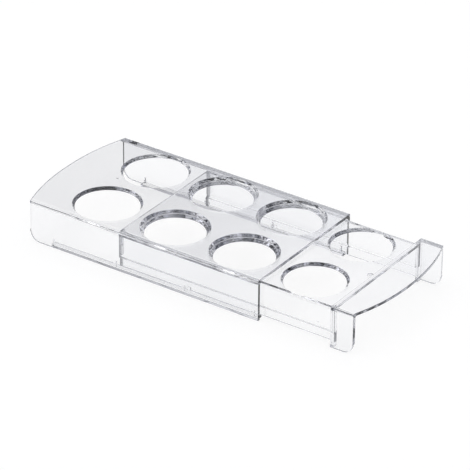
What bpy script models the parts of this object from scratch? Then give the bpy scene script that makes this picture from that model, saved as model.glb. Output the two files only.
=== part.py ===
"""Sliding egg holder tray: a clear outer tray and a clear inner tray that
telescopes inside it, so the holder takes six, eight, ten or twelve eggs.

Both trays are open-ended channels moulded in clear plastic: a flat deck with
2 x 3 tapered egg seats, two side walls and a bowed end edge.  The outer tray
has a rail along the foot of each wall, with a stop post and three small
detent wedges.  The inner tray slides on those rails under the outer deck and
steps out at the front to the outer tray's own section, which makes the grip.

+X is the pull-out direction, +Y goes across, +Z is up and Z = 0 is the shelf.
The origin is the middle of the footprint in the eight-egg position.
"""
import math

import bmesh
import bpy
from mathutils import Matrix, Vector

MM = 0.001

# ---------------------------------------------------------------- sizes (mm)
PITCH = 51.0              # egg seats, along and across
COL1 = -77.65             # first column of the outer tray
HEIGHT = 28.0
HALF_W = 50.0             # outer tray, outside
WALL = 2.0
DECK = 2.0
GAP_SIDE = 0.4            # running gap between the side walls
GAP_TOP = 0.3             # running gap between the decks

SEAT_R_OUT = (21.6, 20.3)     # outer tray seat, top and bottom radius
SEAT_R_IN = (20.35, 19.0)     # inner tray seat

OUT_REAR = COL1 - 41.3        # outer tray, rear corners
OUT_BOW = 7.8                 # its rear edge bows out by this much
OUT_FRONT = COL1 + 128.8      # outer tray, straight front end

IN_REAR = COL1 + 24.7         # inner tray, straight rear end
IN_STEP = COL1 + 180.0        # where it steps out to the full section
IN_FRONT = COL1 + 195.8       # its front corners
IN_BOW = 8.6
BOW_POWER = 2.2

CORNER_R = 7.0                # rounded foot of the walls at the two ends

RAIL_TOP = 2.0                # rails at the foot of the outer walls
RAIL_IN = 44.4                # their inner edge
POST_X = (COL1 - 25.6, COL1 - 24.0)   # a stop post at the rear end of each rail
HOOK_X = [COL1 + 23.4 + PITCH * k for k in range(3)]   # steep face of each
HOOK_LEN = 2.6
HOOK_TOP = 5.6
HOOK_IN = 47.0                # how far in the wedges reach

IN_HALF = HALF_W - WALL - GAP_SIDE       # inner tray, outside
IN_WALL = 1.8
IN_TOP = HEIGHT - DECK - GAP_TOP
IN_FOOT = RAIL_TOP + GAP_TOP
BAND_TOP = 9.0                # the lower band of its walls is set in
BAND_HALF = 46.0
BAND_WALL = 1.6
BUMP_OUT = 46.7
BUMP_X = [IN_REAR, IN_REAR + PITCH]
BUMP_LEN = 2.0
BUMP_TOP = 5.2


# ------------------------------------------------------------------- helpers
def clear_scene():
    for ob in list(bpy.data.objects):
        bpy.data.objects.remove(ob, do_unlink=True)
    for block in (bpy.data.meshes, bpy.data.curves, bpy.data.materials):
        for item in list(block):
            if item.users == 0:
                block.remove(item)


def new_collection(name):
    col = bpy.data.collections.new(name)
    bpy.context.scene.collection.children.link(col)
    return col


def arc(cx, cy, r, a0, a1, n):
    """Points on an arc, in degrees, both ends included."""
    out = []
    for i in range(n + 1):
        a = math.radians(a0 + (a1 - a0) * i / n)
        out.append((cx + r * math.cos(a), cy + r * math.sin(a)))
    return out


def prism(name, outline, thick, matrix, col):
    """A closed prism from a flat outline: a filled 2D curve, extruded both
    ways by half its thickness, turned into a mesh."""
    cu = bpy.data.curves.new(name + "_outline", "CURVE")
    cu.dimensions = "2D"
    cu.fill_mode = "BOTH"
    cu.extrude = thick * MM / 2
    sp = cu.splines.new("POLY")
    sp.points.add(len(outline) - 1)
    for p, (x, y) in zip(sp.points, outline):
        p.co = (x * MM, y * MM, 0, 1)
    sp.use_cyclic_u = True
    tmp = bpy.data.objects.new(name + "_tmp", cu)
    bpy.context.scene.collection.objects.link(tmp)
    bpy.context.view_layer.update()
    dg = bpy.context.evaluated_depsgraph_get()
    me = bpy.data.meshes.new_from_object(tmp.evaluated_get(dg))
    bpy.data.objects.remove(tmp, do_unlink=True)
    bm = bmesh.new()
    bm.from_mesh(me)
    bmesh.ops.remove_doubles(bm, verts=bm.verts, dist=1e-6)
    bmesh.ops.dissolve_limit(bm, angle_limit=math.radians(0.5),
                             verts=bm.verts, edges=bm.edges)
    bmesh.ops.transform(bm, matrix=matrix, verts=bm.verts)
    bmesh.ops.recalc_face_normals(bm, faces=bm.faces)
    bm.to_mesh(me)
    bm.free()
    me.name = name
    ob = bpy.data.objects.new(name, me)
    col.objects.link(ob)
    return ob


# A section drawn in (Y, Z) and swept along X between two stations.
def along_x(name, outline, x0, x1, col):
    m = Matrix(((0, 0, 1, (x0 + x1) / 2 * MM), (1, 0, 0, 0), (0, 1, 0, 0), (0, 0, 0, 1)))
    return prism(name, outline, x1 - x0, m, col)


# A plan drawn in (X, Y) and swept up Z.
def along_z(name, outline, z0, z1, col):
    m = Matrix.Translation((0, 0, (z0 + z1) / 2 * MM))
    return prism(name, outline, z1 - z0, m, col)


# A side view drawn in (X, Z) and swept across Y.
def along_y(name, outline, y0, y1, col):
    m = Matrix(((1, 0, 0, 0), (0, 0, -1, (y0 + y1) / 2 * MM), (0, 1, 0, 0), (0, 0, 0, 1)))
    return prism(name, outline, y1 - y0, m, col)


def block(name, lo, hi, col):
    bm = bmesh.new()
    bmesh.ops.create_cube(bm, size=1.0)
    size = [(b - a) * MM for a, b in zip(lo, hi)]
    mid = [(a + b) / 2 * MM for a, b in zip(lo, hi)]
    bmesh.ops.scale(bm, vec=size, verts=bm.verts)
    bmesh.ops.translate(bm, vec=mid, verts=bm.verts)
    me = bpy.data.meshes.new(name)
    bm.to_mesh(me)
    bm.free()
    ob = bpy.data.objects.new(name, me)
    col.objects.link(ob)
    return ob


def seat_cutter(name, x, y, z_top, thick, radii, col):
    """The tapered hole of one egg seat, run a little past both deck faces."""
    top, bottom = radii
    slope = (top - bottom) / thick
    over = 0.6
    bm = bmesh.new()
    bmesh.ops.create_cone(bm, cap_ends=True, segments=56,
                          radius1=(bottom - slope * over) * MM,
                          radius2=(top + slope * over) * MM,
                          depth=(thick + 2 * over) * MM)
    bmesh.ops.translate(bm, vec=(x * MM, y * MM, (z_top - thick / 2) * MM), verts=bm.verts)
    me = bpy.data.meshes.new(name)
    bm.to_mesh(me)
    bm.free()
    ob = bpy.data.objects.new(name, me)
    col.objects.link(ob)
    return ob


def boolean(ob, other, op):
    mod = ob.modifiers.new(op.lower(), "BOOLEAN")
    mod.operation = op
    mod.solver = "EXACT"
    mod.object = other
    bpy.context.view_layer.update()
    dg = bpy.context.evaluated_depsgraph_get()
    me = bpy.data.meshes.new_from_object(ob.evaluated_get(dg))
    ob.modifiers.clear()
    old = ob.data
    ob.data = me
    bpy.data.meshes.remove(old)


def tidy(ob):
    """Welds the seams the cuts leave and makes triangles."""
    bm = bmesh.new()
    bm.from_mesh(ob.data)
    bmesh.ops.remove_doubles(bm, verts=bm.verts, dist=2e-6)
    bmesh.ops.dissolve_degenerate(bm, edges=bm.edges, dist=1e-6)
    bmesh.ops.triangulate(bm, faces=bm.faces)
    bmesh.ops.recalc_face_normals(bm, faces=bm.faces)
    bm.to_mesh(ob.data)
    bm.free()


def clear_plastic(name, colour, rough):
    mat = bpy.data.materials.new(name)
    mat.use_nodes = True
    p = mat.node_tree.nodes["Principled BSDF"]
    p.inputs["Base Color"].default_value = colour
    p.inputs["Roughness"].default_value = rough
    p.inputs["Metallic"].default_value = 0.0
    p.inputs["IOR"].default_value = 1.57
    p.inputs["Transmission Weight"].default_value = 0.9
    mat.diffuse_color = colour[:3] + (0.45,)
    return mat


# ------------------------------------------------------------------ sections
def channel(half, top, foot, wall, deck, r_out, r_in):
    """An open-bottomed channel in (Y, Z), rounded at its top corners."""
    pts = [(half, foot)]
    pts += arc(half - r_out, top - r_out, r_out, 0, 90, 4)
    pts += arc(-half + r_out, top - r_out, r_out, 90, 180, 4)
    pts += [(-half, foot), (-half + wall, foot)]
    yi, zi = half - wall, top - deck
    pts += arc(-yi + r_in, zi - r_in, r_in, 180, 90, 4)
    pts += arc(yi - r_in, zi - r_in, r_in, 90, 0, 4)
    pts += [(yi, foot)]
    return pts


def inner_channel():
    """The inner tray's channel, whose walls are set in below BAND_TOP."""
    h, t, r_out, r_in = IN_HALF, IN_TOP, 2.4, 1.0
    yi, zi = h - IN_WALL, t - DECK
    bi = BAND_HALF - BAND_WALL
    right = [(bi, IN_FOOT), (BAND_HALF, IN_FOOT), (BAND_HALF, BAND_TOP - 1.0),
             (h, BAND_TOP)]
    right += arc(h - r_out, t - r_out, r_out, 0, 90, 4)
    left_out = [(-y, z) for y, z in reversed(right)]
    inner = [(-bi, BAND_TOP - 0.2), (-yi, BAND_TOP + 0.8)]
    inner += arc(-yi + r_in, zi - r_in, r_in, 180, 90, 4)
    inner += [(-y, z) for y, z in reversed(inner)]
    return right + left_out + inner


def bow(y, x_corner, amount, sign):
    k = 1 - (abs(y) / HALF_W) ** BOW_POWER
    return x_corner + sign * amount * k


def bowed_plan(x_flat, x_corner, amount, sign):
    """A plan with one straight end and one bowed end."""
    n = 24
    pts = []
    for i in range(n + 1):
        y = -HALF_W + 2 * HALF_W * i / n
        pts.append((bow(y, x_corner, amount, sign), y))
    pts[0] = (pts[0][0], -HALF_W - 1)
    pts[-1] = (pts[-1][0], HALF_W + 1)
    return pts + [(x_flat, HALF_W + 1), (x_flat, -HALF_W - 1)]


def foot_corner(x_corner, sign):
    """Side view of what is cut away to round the foot of a wall's end."""
    r = CORNER_R
    cx = x_corner - sign * r
    far = x_corner + sign * 20
    pts = []
    for i in range(9):
        a = math.radians(90 * i / 8)
        pts.append((cx + sign * r * math.sin(a), r - r * math.cos(a)))
    return pts + [(far, r), (far, -3), (cx, -3)]


# ---------------------------------------------------------------- outer tray
def build_outer(col, cut):
    ob = along_x("outer_tray", channel(HALF_W, HEIGHT, 0, WALL, DECK, 1.2, 2.4),
                 OUT_REAR - 20, OUT_FRONT, col)
    plan = along_z("outer_plan", bowed_plan(OUT_FRONT + 5, OUT_REAR, OUT_BOW, -1),
                   -5, HEIGHT + 5, cut)
    boolean(ob, plan, "INTERSECT")
    boolean(ob, along_y("outer_foot_cut", foot_corner(OUT_REAR - 0.2, -1), -60, 60, cut),
            "DIFFERENCE")
    for s in (-1, 1):
        a, b = sorted((s * RAIL_IN, s * (HALF_W - 0.7)))
        boolean(ob, block(f"rail_{s}", (POST_X[0], a, 0), (OUT_FRONT - 0.3, b, RAIL_TOP), cut),
                "UNION")
        a, b = sorted((s * HOOK_IN, s * (HALF_W - 0.7)))
        boolean(ob, block(f"post_{s}", (POST_X[0] + 0.2, a, 0.6), (POST_X[1], b, HOOK_TOP), cut),
                "UNION")
        for i, x in enumerate(HOOK_X):
            # a wedge that rises towards the front, with a steep front face
            wedge = [(x - HOOK_LEN, s * (HALF_W - 0.7)), (x - HOOK_LEN, s * (HALF_W - WALL - 0.05)),
                     (x - 0.6, s * HOOK_IN), (x, s * HOOK_IN), (x, s * (HALF_W - 0.7))]
            boolean(ob, along_z(f"hook_{s}_{i}", wedge, RAIL_TOP - 0.5, HOOK_TOP, cut), "UNION")
    for i in range(3):
        for s in (-1, 1):
            boolean(ob, seat_cutter(f"outer_seat_{i}_{s}", COL1 + PITCH * i, s * PITCH / 2,
                                    HEIGHT, DECK, SEAT_R_OUT, cut), "DIFFERENCE")
    tidy(ob)
    return ob


# ---------------------------------------------------------------- inner tray
def build_inner(col, cut):
    ob = along_x("inner_tray", inner_channel(), IN_REAR, IN_STEP + WALL, col)
    # the front end has the outer tray's section
    front = along_x("front_part", channel(HALF_W, HEIGHT, 0, WALL, DECK, 1.2, 1.2),
                    IN_STEP, IN_FRONT + 20, cut)
    plan = along_z("front_plan", bowed_plan(IN_STEP - 5, IN_FRONT, IN_BOW, 1),
                   -5, HEIGHT + 5, cut)
    boolean(front, plan, "INTERSECT")
    boolean(front, along_y("front_foot_cut", foot_corner(IN_FRONT + 0.2, 1), -60, 60, cut),
            "DIFFERENCE")
    # the step joins the two sections
    step = along_x("step", channel(HALF_W, HEIGHT, 0, HALF_W - BAND_HALF + BAND_WALL,
                                   HEIGHT - IN_TOP + DECK, 1.2, 1.0),
                   IN_STEP, IN_STEP + WALL, cut)
    boolean(ob, step, "UNION")
    boolean(ob, front, "UNION")
    for s in (-1, 1):
        for i, x in enumerate(BUMP_X):
            a, b = sorted((s * (BAND_HALF - 0.6), s * BUMP_OUT))
            boolean(ob, block(f"bump_{s}_{i}", (x, a, IN_FOOT), (x + BUMP_LEN, b, BUMP_TOP), cut),
                    "UNION")
    for i in range(3):
        for s in (-1, 1):
            boolean(ob, seat_cutter(f"inner_seat_{i}_{s}", COL1 + PITCH * (i + 1), s * PITCH / 2,
                                    IN_TOP, DECK, SEAT_R_IN, cut), "DIFFERENCE")
    tidy(ob)
    return ob


def main():
    clear_scene()
    parts = new_collection("egg_holder_tray")
    cutters = new_collection("cutters")
    outer = build_outer(parts, cutters)
    inner = build_inner(parts, cutters)
    outer.data.materials.clear()
    inner.data.materials.clear()
    outer.data.materials.append(clear_plastic("clear_outer", (0.86, 0.88, 0.90, 1.0), 0.08))
    inner.data.materials.append(clear_plastic("clear_inner", (0.88, 0.89, 0.90, 1.0), 0.08))
    # the inner tray's origin lies on the line it slides along
    shift = Vector((IN_REAR * MM, 0.0, IN_FOOT * MM))
    inner.data.transform(Matrix.Translation(-shift))
    inner.location = shift
    for ob in cutters.objects:
        ob.hide_render = True
        ob.display_type = "WIRE"
    bpy.context.view_layer.update()


main()
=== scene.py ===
"""The looks of the sliding egg holder tray: two clear moulded trays, built as
fine meshes with rounded edges, in clear plastic, on a pale floor."""
import math
import random

import bmesh
import bpy
from mathutils import Matrix, Vector


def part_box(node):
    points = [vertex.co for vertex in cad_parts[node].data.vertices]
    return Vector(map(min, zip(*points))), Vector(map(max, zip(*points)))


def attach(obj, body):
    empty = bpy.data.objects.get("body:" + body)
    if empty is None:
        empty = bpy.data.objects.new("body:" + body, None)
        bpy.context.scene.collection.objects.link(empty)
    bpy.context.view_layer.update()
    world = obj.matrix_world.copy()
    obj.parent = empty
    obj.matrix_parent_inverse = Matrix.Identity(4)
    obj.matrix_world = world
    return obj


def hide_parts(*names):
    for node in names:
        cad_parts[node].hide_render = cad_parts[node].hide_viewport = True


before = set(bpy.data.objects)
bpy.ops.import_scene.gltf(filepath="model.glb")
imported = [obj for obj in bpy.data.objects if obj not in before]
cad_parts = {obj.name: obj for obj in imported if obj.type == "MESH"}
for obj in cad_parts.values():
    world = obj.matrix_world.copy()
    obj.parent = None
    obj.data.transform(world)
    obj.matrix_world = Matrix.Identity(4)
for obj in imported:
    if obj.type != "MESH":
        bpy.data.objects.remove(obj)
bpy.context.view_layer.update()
MM = 0.001

# ------------------------------------------------------------ shared sizes (mm)
lo_o, hi_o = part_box("outer_tray")
lo_i, hi_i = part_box("inner_tray")
PITCH = 51.0
HEIGHT = hi_o.z / MM
HALF_W = hi_o.y / MM
WALL = 2.0
DECK = 2.0
OUT_FRONT = hi_o.x / MM
COL1 = OUT_FRONT - 128.8
OUT_BOW, IN_BOW, BOW_POWER = 7.8, 8.6, 2.2
OUT_REAR = lo_o.x / MM + OUT_BOW
IN_REAR = lo_i.x / MM
IN_FRONT = hi_i.x / MM - IN_BOW
IN_STEP = IN_REAR + 155.3
RAIL_TOP, RAIL_IN = 2.0, 44.4
POST_X = (COL1 - 25.4, COL1 - 24.0)
HOOK_X = [COL1 + 23.4 + PITCH * k for k in range(3)]
HOOK_LEN, HOOK_TOP, HOOK_IN = 2.6, 5.6, 47.0
IN_HALF = HALF_W - WALL - 0.4
IN_TOP = HEIGHT - DECK - 0.3
IN_FOOT = RAIL_TOP + 0.3
IN_WALL, BAND_TOP, BAND_HALF, BAND_WALL = 1.8, 9.0, 46.0, 1.6
BUMP_OUT, BUMP_X, BUMP_LEN, BUMP_TOP = 46.7, (IN_REAR, IN_REAR + PITCH), 2.0, 5.2
CORNER_R = 7.0
ROUND = 0.40              # radius left on every moulded edge


# ------------------------------------------------------------------- mesh code
def arc(cx, cy, r, a0, a1, n):
    return [(cx + r * math.cos(math.radians(a0 + (a1 - a0) * i / n)),
             cy + r * math.sin(math.radians(a0 + (a1 - a0) * i / n))) for i in range(n + 1)]


def prism(outline, a, b, axis):
    """A closed prism of a flat outline, run from a to b along an axis."""
    place = {"x": lambda u, v, w: (w, u, v), "y": lambda u, v, w: (u, w, v),
             "z": lambda u, v, w: (u, v, w)}[axis]
    bm = bmesh.new()
    ends = []
    for w in (a, b):
        ends.append([bm.verts.new(Vector(place(u, v, w)) * MM) for u, v in outline])
    n = len(outline)
    bm.faces.new(ends[0])
    bm.faces.new(list(reversed(ends[1])))
    for i in range(n):
        j = (i + 1) % n
        bm.faces.new((ends[0][i], ends[1][i], ends[1][j], ends[0][j]))
    bmesh.ops.recalc_face_normals(bm, faces=bm.faces)
    return bm


def turned(profile, x, y, steps, seed=0):
    """A closed turned solid from (radius, z, facet) points, top to bottom.
    Where facet is above 0 the wall carries the flats of a hand-finished mould
    core: its radius strays by up to that many mm between uneven marks."""
    rng = random.Random(seed)
    marks, a = [], 0.0
    while a < 2 * math.pi - 0.06:
        marks.append((a, a + rng.uniform(-0.03, 0.03), rng.uniform(-1, 1), rng.uniform(-1, 1)))
        a += rng.uniform(0.028, 0.06) if rng.random() < 0.4 else rng.uniform(0.08, 0.17)
    span = profile[0][1] - profile[-1][1]
    bm = bmesh.new()
    rings = []
    for r, z, facet in profile:
        t = (profile[0][1] - z) / span
        nodes = sorted((p + (q - p) * t, u + (v - u) * t) for p, q, u, v in marks)
        nodes = ([(p - 2 * math.pi, v) for p, v in nodes[-2:]] + nodes
                 + [(p + 2 * math.pi, v) for p, v in nodes[:2]])
        ring, k = [], 0
        for i in range(steps):
            a = 2 * math.pi * i / steps
            while nodes[k + 1][0] < a:
                k += 1
            (a0, v0), (a1, v1) = nodes[k], nodes[k + 1]
            rr = r + facet * (v0 + (v1 - v0) * (a - a0) / max(a1 - a0, 1e-6))
            ring.append(bm.verts.new(Vector((x + rr * math.cos(a), y + rr * math.sin(a), z)) * MM))
        rings.append(ring)
    for a, b in zip(rings, rings[1:]):
        for k in range(steps):
            j = (k + 1) % steps
            bm.faces.new((a[k], a[j], b[j], b[k]))
    bm.faces.new(rings[0])
    bm.faces.new(list(reversed(rings[-1])))
    bmesh.ops.recalc_face_normals(bm, faces=bm.faces)
    return bm


def to_object(name, *bms):
    me = bpy.data.meshes.new(name)
    whole = bmesh.new()
    for bm in bms:
        part = bpy.data.meshes.new("part")
        bm.to_mesh(part)
        bm.free()
        whole.from_mesh(part)
        bpy.data.meshes.remove(part)
    whole.to_mesh(me)
    whole.free()
    ob = bpy.data.objects.new(name, me)
    bpy.context.scene.collection.objects.link(ob)
    return ob


def boolean(ob, other, op):
    mod = ob.modifiers.new("cut", "BOOLEAN")
    mod.operation = op
    mod.solver = "EXACT"
    mod.object = other
    bpy.context.view_layer.update()
    dg = bpy.context.evaluated_depsgraph_get()
    me = bpy.data.meshes.new_from_object(ob.evaluated_get(dg))
    ob.modifiers.clear()
    old = ob.data
    ob.data = me
    bpy.data.meshes.remove(old)
    bpy.data.objects.remove(other, do_unlink=True)


def clean(ob, dist=2e-6):
    bm = bmesh.new()
    bm.from_mesh(ob.data)
    bmesh.ops.remove_doubles(bm, verts=bm.verts, dist=dist)
    bmesh.ops.dissolve_degenerate(bm, edges=bm.edges, dist=1e-6)
    bmesh.ops.recalc_face_normals(bm, faces=bm.faces)
    bm.to_mesh(ob.data)
    bm.free()


def round_edges(ob, width, segments=3, limit=33):
    """Rounds every sharp edge a little, as a mould leaves it."""
    bm = bmesh.new()
    bm.from_mesh(ob.data)
    bmesh.ops.remove_doubles(bm, verts=bm.verts, dist=2e-6)
    bmesh.ops.dissolve_limit(bm, angle_limit=math.radians(0.2), verts=bm.verts, edges=bm.edges)
    sharp = [e for e in bm.edges if len(e.link_faces) == 2
             and e.calc_face_angle(0) > math.radians(limit)]
    bmesh.ops.bevel(bm, geom=sharp, offset=width * MM, offset_type="OFFSET", segments=segments,
                    profile=0.5, affect="EDGES", clamp_overlap=False)
    bmesh.ops.remove_doubles(bm, verts=bm.verts, dist=3e-6)
    bmesh.ops.dissolve_degenerate(bm, edges=bm.edges, dist=1e-6)
    bmesh.ops.recalc_face_normals(bm, faces=bm.faces)
    bm.to_mesh(ob.data)
    bm.free()


SEAT_FLATS = 0.34


def seat_profile(top, bottom, z_top, thick):
    """The hole of an egg seat: a cone with a rounded lip above and below."""
    z_bot = z_top - thick
    pts = [(top + 0.62, z_top + 0.10, 0), (top + 0.36, z_top - 0.03, 0),
           (top + 0.14, z_top - 0.14, 0), (top, z_top - 0.34, 0.3)]
    n = 4
    for i in range(1, n):
        t = i / n
        pts.append((top + (bottom + 0.02 - top) * t, z_top - 0.34 - (thick - 0.64) * t, 1))
    pts += [(bottom + 0.02, z_bot + 0.30, 0.3), (bottom + 0.06, z_bot + 0.16, 0),
            (bottom + 0.20, z_bot + 0.03, 0), (bottom + 0.46, z_bot - 0.10, 0)]
    return [(r, z, w * SEAT_FLATS) for r, z, w in pts]


def cut_seats(ob, columns, radii, z_top, steps=450):
    cutters = [turned(seat_profile(*radii, z_top, DECK), COL1 + PITCH * c, s * PITCH / 2, steps,
                      seed=int(100 * c + 10 * s + z_top))
               for c in columns for s in (-1, 1)]
    boolean(ob, to_object("seats", *cutters), "DIFFERENCE")


# -------------------------------------------------------------------- sections
def channel(half, top, foot, wall, deck, r_out, r_in, n=8):
    pts = [(half, foot)]
    pts += arc(half - r_out, top - r_out, r_out, 0, 90, n)
    pts += arc(-half + r_out, top - r_out, r_out, 90, 180, n)
    pts += [(-half, foot), (-half + wall, foot)]
    yi, zi = half - wall, top - deck
    pts += arc(-yi + r_in, zi - r_in, r_in, 180, 90, n)
    pts += arc(yi - r_in, zi - r_in, r_in, 90, 0, n)
    pts += [(yi, foot)]
    return pts


def s_curve(p, q, n=10):
    """A smooth step from p to q, leaving and arriving upright."""
    pts = []
    for i in range(n + 1):
        t = i / n
        pts.append((p[0] + (q[0] - p[0]) * t * t * (3 - 2 * t), p[1] + (q[1] - p[1]) * t))
    return pts


def inner_channel():
    h, t, r_out, r_in = IN_HALF, IN_TOP, 2.4, 1.0
    yi, zi = h - IN_WALL, t - DECK
    bi = BAND_HALF - BAND_WALL
    right = [(bi, IN_FOOT), (BAND_HALF, IN_FOOT)]
    right += s_curve((BAND_HALF, BAND_TOP - 1.3), (h, BAND_TOP + 0.2))
    right += arc(h - r_out, t - r_out, r_out, 0, 90, 8)
    left_out = [(-y, z) for y, z in reversed(right)]
    inner = s_curve((-bi, BAND_TOP - 0.9), (-yi, BAND_TOP + 0.8))
    inner += arc(-yi + r_in, zi - r_in, r_in, 180, 90, 6)
    inner += [(-y, z) for y, z in reversed(inner)]
    return right + left_out + inner


def bowed_plan(x_flat, x_corner, amount, sign, n=72):
    pts = []
    for i in range(n + 1):
        y = -HALF_W + 2 * HALF_W * i / n
        pts.append((x_corner + sign * amount * (1 - (abs(y) / HALF_W) ** BOW_POWER), y))
    pts[0] = (pts[0][0], -HALF_W - 1)
    pts[-1] = (pts[-1][0], HALF_W + 1)
    return pts + [(x_flat, HALF_W + 1), (x_flat, -HALF_W - 1)]


def foot_corner(x_corner, sign):
    r = CORNER_R
    cx = x_corner - sign * r
    far = x_corner + sign * 20
    pts = []
    for i in range(19):
        a = math.radians(90 * i / 18)
        pts.append((cx + sign * r * math.sin(a), r - r * math.cos(a)))
    return pts + [(far, r), (far, -3), (cx, -3)]


def box_bm(lo, hi):
    bm = bmesh.new()
    bmesh.ops.create_cube(bm, size=1.0)
    bmesh.ops.scale(bm, vec=[(b - a) * MM for a, b in zip(lo, hi)], verts=bm.verts)
    bmesh.ops.translate(bm, vec=[(a + b) / 2 * MM for a, b in zip(lo, hi)], verts=bm.verts)
    return bm


def lump(name, bm, width=0.25):
    """A small moulded detail with its own rounded edges."""
    ob = to_object(name, bm)
    round_edges(ob, width)
    return ob


# ---------------------------------------------------------------- outer tray
def make_outer():
    ob = to_object("outer_shell", prism(channel(HALF_W, HEIGHT, 0, WALL, DECK, 0.5, 2.4, 6),
                                        OUT_REAR - 20, OUT_FRONT, "x"))
    boolean(ob, to_object("plan", prism(bowed_plan(OUT_FRONT + 5, OUT_REAR, OUT_BOW, -1),
                                        -5, HEIGHT + 5, "z")), "INTERSECT")
    boolean(ob, to_object("foot", prism(foot_corner(OUT_REAR - 0.2, -1), -60, 60, "y")), "DIFFERENCE")
    for s in (-1, 1):
        a, b = sorted((s * RAIL_IN, s * (HALF_W - 0.7)))
        boolean(ob, to_object("rail", box_bm((POST_X[0] - 0.2, a, 0), (OUT_FRONT - 1.1, b, RAIL_TOP))),
                "UNION")
    round_edges(ob, ROUND)
    for s in (-1, 1):
        a, b = sorted((s * HOOK_IN, s * (HALF_W - 0.9)))
        boolean(ob, lump("post", box_bm((POST_X[0] + 0.5, a, 0.7), (POST_X[1] + 0.3, b, HOOK_TOP)), 0.35),
                "UNION")
        for x in HOOK_X:
            boolean(ob, lump("wedge", prism([(x - HOOK_LEN, s * (HALF_W - 0.9)),
                                             (x - HOOK_LEN, s * (HALF_W - WALL + 0.25)),
                                             (x - 0.7, s * HOOK_IN), (x, s * HOOK_IN),
                                             (x, s * (HALF_W - 0.9))], RAIL_TOP - 0.9, HOOK_TOP, "z")), "UNION")
    cut_seats(ob, (0, 1, 2), (21.6, 20.3), HEIGHT)
    boolean(ob, to_object("gate_nub", turned([(0.4, HEIGHT + 0.16, 0), (0.75, HEIGHT + 0.08, 0),
                                              (0.95, HEIGHT - 0.5, 0)], COL1 - 14.1, 4.2, 24)), "UNION")
    clean(ob)
    return ob


# ---------------------------------------------------------------- inner tray
def make_inner():
    ob = to_object("inner_shell", prism(inner_channel(), IN_REAR, IN_STEP + WALL - 0.1, "x"))
    front = to_object("front", prism(channel(HALF_W, HEIGHT, 0, WALL, DECK, 0.5, 1.2, 6),
                                     IN_STEP, IN_FRONT + 20, "x"))
    boolean(front, to_object("plan", prism(bowed_plan(IN_STEP - 5, IN_FRONT, IN_BOW, 1),
                                           -5, HEIGHT + 5, "z")), "INTERSECT")
    boolean(front, to_object("foot", prism(foot_corner(IN_FRONT + 0.2, 1), -60, 60, "y")), "DIFFERENCE")
    step = to_object("step", prism(channel(HALF_W, HEIGHT, 0, HALF_W - BAND_HALF + BAND_WALL,
                                           HEIGHT - IN_TOP + DECK, 0.5, 1.0, 6),
                                   IN_STEP, IN_STEP + WALL, "x"))
    boolean(ob, step, "UNION")
    boolean(ob, front, "UNION")
    for s in (-1, 1):
        r, x0, y0 = 1.2, IN_REAR, IN_HALF
        corner = [(x0 - 1, y0 + 1), (x0 + r, y0 + 1)] + arc(x0 + r, y0 - r, r, 90, 180, 8) + [(x0 - 1, y0 - r)]
        boolean(ob, to_object("corner", prism([(x, s * y) for x, y in corner], -2, 40, "z")), "DIFFERENCE")
    round_edges(ob, ROUND)
    for s in (-1, 1):
        a, b = sorted((s * (IN_HALF - IN_WALL - 1.7), s * (IN_HALF - 1.0)))
        boolean(ob, lump("end_rib", box_bm((IN_REAR + 0.55, a, BAND_TOP + 1.6),
                                           (IN_REAR + 2.6, b, IN_TOP - DECK + 0.9)), 0.7), "UNION")
        for x in BUMP_X:
            a, b = sorted((s * (BAND_HALF - 0.8), s * BUMP_OUT))
            x0 = x + (0.5 if x == IN_REAR else 0)
            boolean(ob, lump("bump", box_bm((x0, a, IN_FOOT + 0.5), (x + BUMP_LEN + 0.2, b, BUMP_TOP))), "UNION")
    cut_seats(ob, (1, 2, 3), (20.35, 19.0), IN_TOP)
    # the well of the moulding gate, and its broken-off nub
    gx, gy = IN_STEP - 2.9, -2.2
    boolean(ob, to_object("gate_well", turned([(2.5, IN_TOP + 0.3, 0), (2.1, IN_TOP - 0.05, 0),
                                               (1.8, IN_TOP - 0.18, 0), (0.9, IN_TOP - 0.26, 0)],
                                              gx, gy, 48)), "DIFFERENCE")
    boolean(ob, to_object("gate_nub", turned([(0.35, IN_TOP - 0.04, 0), (0.62, IN_TOP - 0.12, 0),
                                              (0.8, IN_TOP - 0.6, 0)], gx + 0.2, gy - 0.1, 24)), "UNION")
    boolean(ob, to_object("mark", box_bm((IN_STEP - 11.6, -IN_HALF - 0.12, 12.75),
                                         (IN_STEP - 9.3, -IN_HALF + 0.5, 13.15))), "UNION")
    clean(ob)
    return ob


def finish_shading(ob):
    for p in ob.data.polygons:
        p.use_smooth = True
    mod = ob.modifiers.new("even_normals", "WEIGHTED_NORMAL")
    mod.mode = "FACE_AREA"
    mod.weight = 50
    mod.keep_sharp = False


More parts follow.
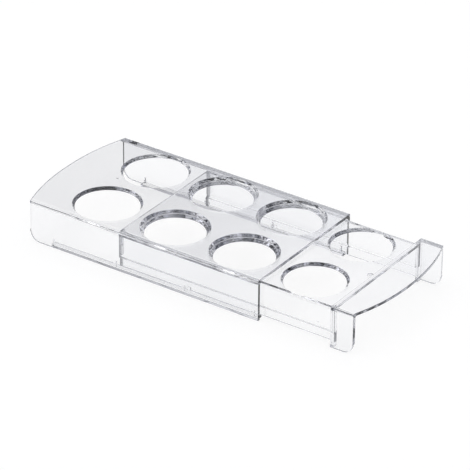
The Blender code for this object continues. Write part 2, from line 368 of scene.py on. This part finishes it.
# ------------------------------------------------------------------- material
def clear_plastic(name, tint, seed, painted_shade_x=None):
    mat = bpy.data.materials.new(name)
    mat.use_nodes = True
    nt = mat.node_tree
    n, l = nt.nodes, nt.links
    p = n["Principled BSDF"]
    p.inputs["Metallic"].default_value = 0.0
    p.inputs["IOR"].default_value = 1.57
    p.inputs["Transmission Weight"].default_value = 1.0
    co = n.new("ShaderNodeTexCoord")
    mp = n.new("ShaderNodeMapping")
    mp.inputs["Location"].default_value = (seed, seed * 0.7, seed * 1.3)
    l.new(co.outputs["Object"], mp.inputs["Vector"])
    # slow waves of the moulded surface, stretched along the melt's flow
    flow = n.new("ShaderNodeMapping")
    flow.inputs["Scale"].default_value = (0.55, 1.0, 1.0)
    l.new(mp.outputs["Vector"], flow.inputs["Vector"])
    wave = n.new("ShaderNodeTexNoise")
    wave.inputs["Scale"].default_value = 42.0
    wave.inputs["Detail"].default_value = 1.5
    wave.inputs["Roughness"].default_value = 0.45
    l.new(flow.outputs["Vector"], wave.inputs["Vector"])
    fine = n.new("ShaderNodeTexNoise")
    fine.inputs["Scale"].default_value = 260.0
    fine.inputs["Detail"].default_value = 2.0
    l.new(flow.outputs["Vector"], fine.inputs["Vector"])
    bump = n.new("ShaderNodeBump")
    bump.inputs["Strength"].default_value = 0.03
    bump.inputs["Distance"].default_value = 0.0007
    l.new(wave.outputs["Fac"], bump.inputs["Height"])
    bump2 = n.new("ShaderNodeBump")
    bump2.inputs["Strength"].default_value = 0.02
    bump2.inputs["Distance"].default_value = 0.00006
    l.new(fine.outputs["Fac"], bump2.inputs["Height"])
    l.new(bump.outputs["Normal"], bump2.inputs["Normal"])
    l.new(bump2.outputs["Normal"], p.inputs["Normal"])
    # handling haze: the polish varies a little
    haze = n.new("ShaderNodeTexNoise")
    haze.inputs["Scale"].default_value = 28.0
    haze.inputs["Detail"].default_value = 5.0
    haze.inputs["Roughness"].default_value = 0.62
    l.new(mp.outputs["Vector"], haze.inputs["Vector"])
    rr = n.new("ShaderNodeMapRange")
    rr.inputs["From Min"].default_value = 0.35
    rr.inputs["From Max"].default_value = 0.75
    rr.inputs["To Min"].default_value = 0.0
    rr.inputs["To Max"].default_value = 0.018
    l.new(haze.outputs["Fac"], rr.inputs["Value"])
    l.new(rr.outputs["Result"], p.inputs["Roughness"])
    ramp = n.new("ShaderNodeValToRGB")
    ramp.color_ramp.elements[0].position = 0.3
    ramp.color_ramp.elements[0].color = (tint[0] * 0.990, tint[1] * 0.991, tint[2] * 0.994, 1)
    ramp.color_ramp.elements[1].position = 0.7
    ramp.color_ramp.elements[1].color = (tint[0], tint[1], tint[2], 1)
    l.new(wave.outputs["Fac"], ramp.inputs["Fac"])
    colour = ramp.outputs["Color"]
    if painted_shade_x is not None:
        # painted shade: the thick rolled ends of the side walls get a dark grey base colour, standing in for the
        # shade seen there
        xyz = n.new("ShaderNodeSeparateXYZ")
        l.new(co.outputs["Object"], xyz.inputs["Vector"])
        along = n.new("ShaderNodeMapRange")
        along.interpolation_type = "SMOOTHSTEP"
        along.inputs["From Min"].default_value = painted_shade_x * MM
        along.inputs["From Max"].default_value = (painted_shade_x + 0.7) * MM
        along.inputs["To Min"].default_value = 1.0
        along.inputs["To Max"].default_value = 0.0
        l.new(xyz.outputs["X"], along.inputs["Value"])
        side = n.new("ShaderNodeMath")
        side.operation = "ABSOLUTE"
        l.new(xyz.outputs["Y"], side.inputs[0])
        wall = n.new("ShaderNodeMath")
        wall.operation = "GREATER_THAN"
        l.new(side.outputs["Value"], wall.inputs[0])
        wall.inputs[1].default_value = (BAND_HALF - 2.6) * MM
        painted_shade_mask = n.new("ShaderNodeMath")
        painted_shade_mask.operation = "MULTIPLY"
        l.new(along.outputs["Result"], painted_shade_mask.inputs[0])
        l.new(wall.outputs["Value"], painted_shade_mask.inputs[1])
        mix = n.new("ShaderNodeMix")
        mix.data_type = "RGBA"
        ins = [i for i in mix.inputs if i.enabled]
        l.new(painted_shade_mask.outputs["Value"], ins[0])
        l.new(colour, ins[1])
        # the dark grey of the painted shade
        ins[2].default_value = (0.30, 0.305, 0.325, 1)
        colour = [o for o in mix.outputs if o.enabled][0]
    l.new(colour, p.inputs["Base Color"])
    ab = n.new("ShaderNodeVolumeAbsorption")
    ab.inputs["Color"].default_value = (0.500, 0.515, 0.562, 1)
    ab.inputs["Density"].default_value = 36.0
    l.new(ab.outputs["Volume"], n["Material Output"].inputs["Volume"])
    return mat


outer = make_outer()
inner = make_inner()
for ob, body, node, slot, tint, seed in (
        (outer, "outer", "outer_tray", "clear_outer", (0.993, 0.995, 1.0), 0.0),
        (inner, "inner", "inner_tray", "clear_inner", (0.994, 0.996, 1.0), 3.1)):
    finish_shading(ob)
    ob.data.materials.clear()
    # the inner tray also gets painted shade at the rear ends of its side walls
    ob.data.materials.append(clear_plastic(slot + "_plastic", tint, seed,
                                           IN_REAR + 1.5 if body == "inner" else None))
    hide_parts(node)
    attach(ob, body)

# ---------------------------------------------------------------------- stage
bm = bmesh.new()
bmesh.ops.create_circle(bm, cap_ends=True, segments=96, radius=60.0)
floor = to_object("floor", bm)
floor.location.z = -0.0002
fm = bpy.data.materials.new("pale_floor")
fm.use_nodes = True
fp = fm.node_tree.nodes["Principled BSDF"]
fp.inputs["Base Color"].default_value = (0.18, 0.18, 0.18, 1)
fp.inputs["Emission Color"].default_value = (1, 1, 1, 1)
fp.inputs["Emission Strength"].default_value = 0.86
fp.inputs["Roughness"].default_value = 0.9
fp.inputs["Specular IOR Level"].default_value = 0.1
floor.data.materials.append(fm)

world = bpy.data.worlds.new("studio")
bpy.context.scene.world = world
world.use_nodes = True
wn, wl = world.node_tree.nodes, world.node_tree.links
bg = wn["Background"]
tc = wn.new("ShaderNodeTexCoord")
sep = wn.new("ShaderNodeSeparateXYZ")
wl.new(tc.outputs["Generated"], sep.inputs["Vector"])


def world_ramp(stops):
    node = wn.new("ShaderNodeValToRGB")
    els = node.color_ramp.elements
    while len(els) > 1:
        els.remove(els[-1])
    els[0].position, els[0].color = stops[0][0], stops[0][1] + (1,)
    for pos, col in stops[1:]:
        e = els.new(pos)
        e.color = col + (1,)
    return node


# a white band at the horizon, a dim studio above it, and softboxes overhead
belt = world_ramp([(0.0, (0.97, 0.97, 0.97)), (0.022, (0.95, 0.95, 0.96)), (0.05, (0.10, 0.10, 0.11)),
                   (0.70, (0.10, 0.10, 0.11)), (0.86, (1.0, 1.0, 1.0)), (1.0, (1.25, 1.25, 1.25))])
wl.new(sep.outputs["Z"], belt.inputs["Fac"])
cells = wn.new("ShaderNodeTexNoise")
cells.inputs["Scale"].default_value = 7.0
cells.inputs["Detail"].default_value = 1.0
wl.new(tc.outputs["Generated"], cells.inputs["Vector"])
patch = world_ramp([(0.0, (0.4, 0.4, 0.4)), (0.545, (0.6, 0.6, 0.6)), (0.56, (13.0, 13.0, 13.0)), (1.0, (18.0, 18.0, 18.0))])
wl.new(cells.outputs["Fac"], patch.inputs["Fac"])
above = world_ramp([(0.0, (0, 0, 0)), (0.03, (0, 0, 0)), (0.08, (1, 1, 1)), (0.66, (1, 1, 1)), (0.80, (0, 0, 0)), (1.0, (0, 0, 0))])
wl.new(sep.outputs["Z"], above.inputs["Fac"])


def world_mix(kind, fac, a, b):
    node = wn.new("ShaderNodeMix")
    node.data_type = "RGBA"
    node.blend_type = kind
    ins = [i for i in node.inputs if i.enabled]
    for sock, src in zip(ins, (fac, a, b)):
        wl.new(src, sock)
    return [o for o in node.outputs if o.enabled][0]


studio = world_mix("MULTIPLY", above.outputs["Color"], belt.outputs["Color"], patch.outputs["Color"])

# a big reflector card behind the tray, brighter towards its right end
card_x = world_ramp([(0.0, (0.28, 0.28, 0.31)), (0.28, (0.44, 0.44, 0.47)), (0.48, (0.66, 0.66, 0.69)),
                     (0.66, (0.90, 0.90, 0.93)), (1.0, (1.0, 1.0, 1.03))])
span = wn.new("ShaderNodeMapRange")
span.inputs["From Min"].default_value = -0.535
span.inputs["From Max"].default_value = -0.440
wl.new(sep.outputs["X"], span.inputs["Value"])
wl.new(span.outputs["Result"], card_x.inputs["Fac"])
facing = wn.new("ShaderNodeVectorMath")
facing.operation = "DOT_PRODUCT"
facing.inputs[1].default_value = (-0.4892, 0.7199, 0.4924)
wl.new(tc.outputs["Generated"], facing.inputs[0])
card = wn.new("ShaderNodeMapRange")
card.inputs["From Min"].default_value = 0.9925
card.inputs["From Max"].default_value = 0.9962
wl.new(facing.outputs["Value"], card.inputs["Value"])
wl.new(world_mix("MIX", card.outputs["Result"], studio, card_x.outputs["Color"]), bg.inputs["Color"])
bg.inputs["Strength"].default_value = 1.0


def softbox(name, loc, aim, size, power):
    li = bpy.data.lights.new(name, "AREA")
    li.shape = "RECTANGLE"
    li.size, li.size_y = size
    li.energy = power
    ob = bpy.data.objects.new(name, li)
    bpy.context.scene.collection.objects.link(ob)
    ob.location = loc
    ob.rotation_euler = (Vector(loc) - Vector(aim)).to_track_quat("Z", "Y").to_euler()
    return ob


softbox("key", (-0.6, -0.9, 2.4), (0, 0, 0), (2.0, 1.6), 7)

# --------------------------------------------------------------------- camera
AZ, EL, ROLL = math.radians(34.25), math.radians(29.65), math.radians(0.557)
DIST, F_PX = 2.4035, 3930.0
U0, V0 = -1.52, 7.17
target = Vector((-0.00115, 0.0, 0.014))
back = Vector((math.sin(AZ) * math.cos(EL), -math.cos(AZ) * math.cos(EL), math.sin(EL)))
right = (-back).cross(Vector((0, 0, 1))).normalized()
up = right.cross(-back)
r = right * math.cos(ROLL) + up * math.sin(ROLL)
u = -right * math.sin(ROLL) + up * math.cos(ROLL)
cam = bpy.data.objects.new("camera", bpy.data.cameras.new("camera"))
bpy.context.scene.collection.objects.link(cam)
loc = target + back * DIST - r * (U0 * DIST / F_PX) + u * (V0 * DIST / F_PX)
cam.matrix_world = Matrix(((r.x, u.x, back.x, loc.x), (r.y, u.y, back.y, loc.y),
                           (r.z, u.z, back.z, loc.z), (0, 0, 0, 1)))
cam.data.sensor_width = 36.0
cam.data.lens = F_PX / 470 * 36.0
cam.data.clip_start = 0.05
cam.data.clip_end = 200.0
bpy.context.scene.camera = cam

sc = bpy.context.scene
sc.view_settings.view_transform = "Standard"
sc.view_settings.look = "None"
sc.view_settings.exposure = 0.0
sc.cycles.max_bounces = 56
sc.cycles.transmission_bounces = 36
sc.cycles.glossy_bounces = 26
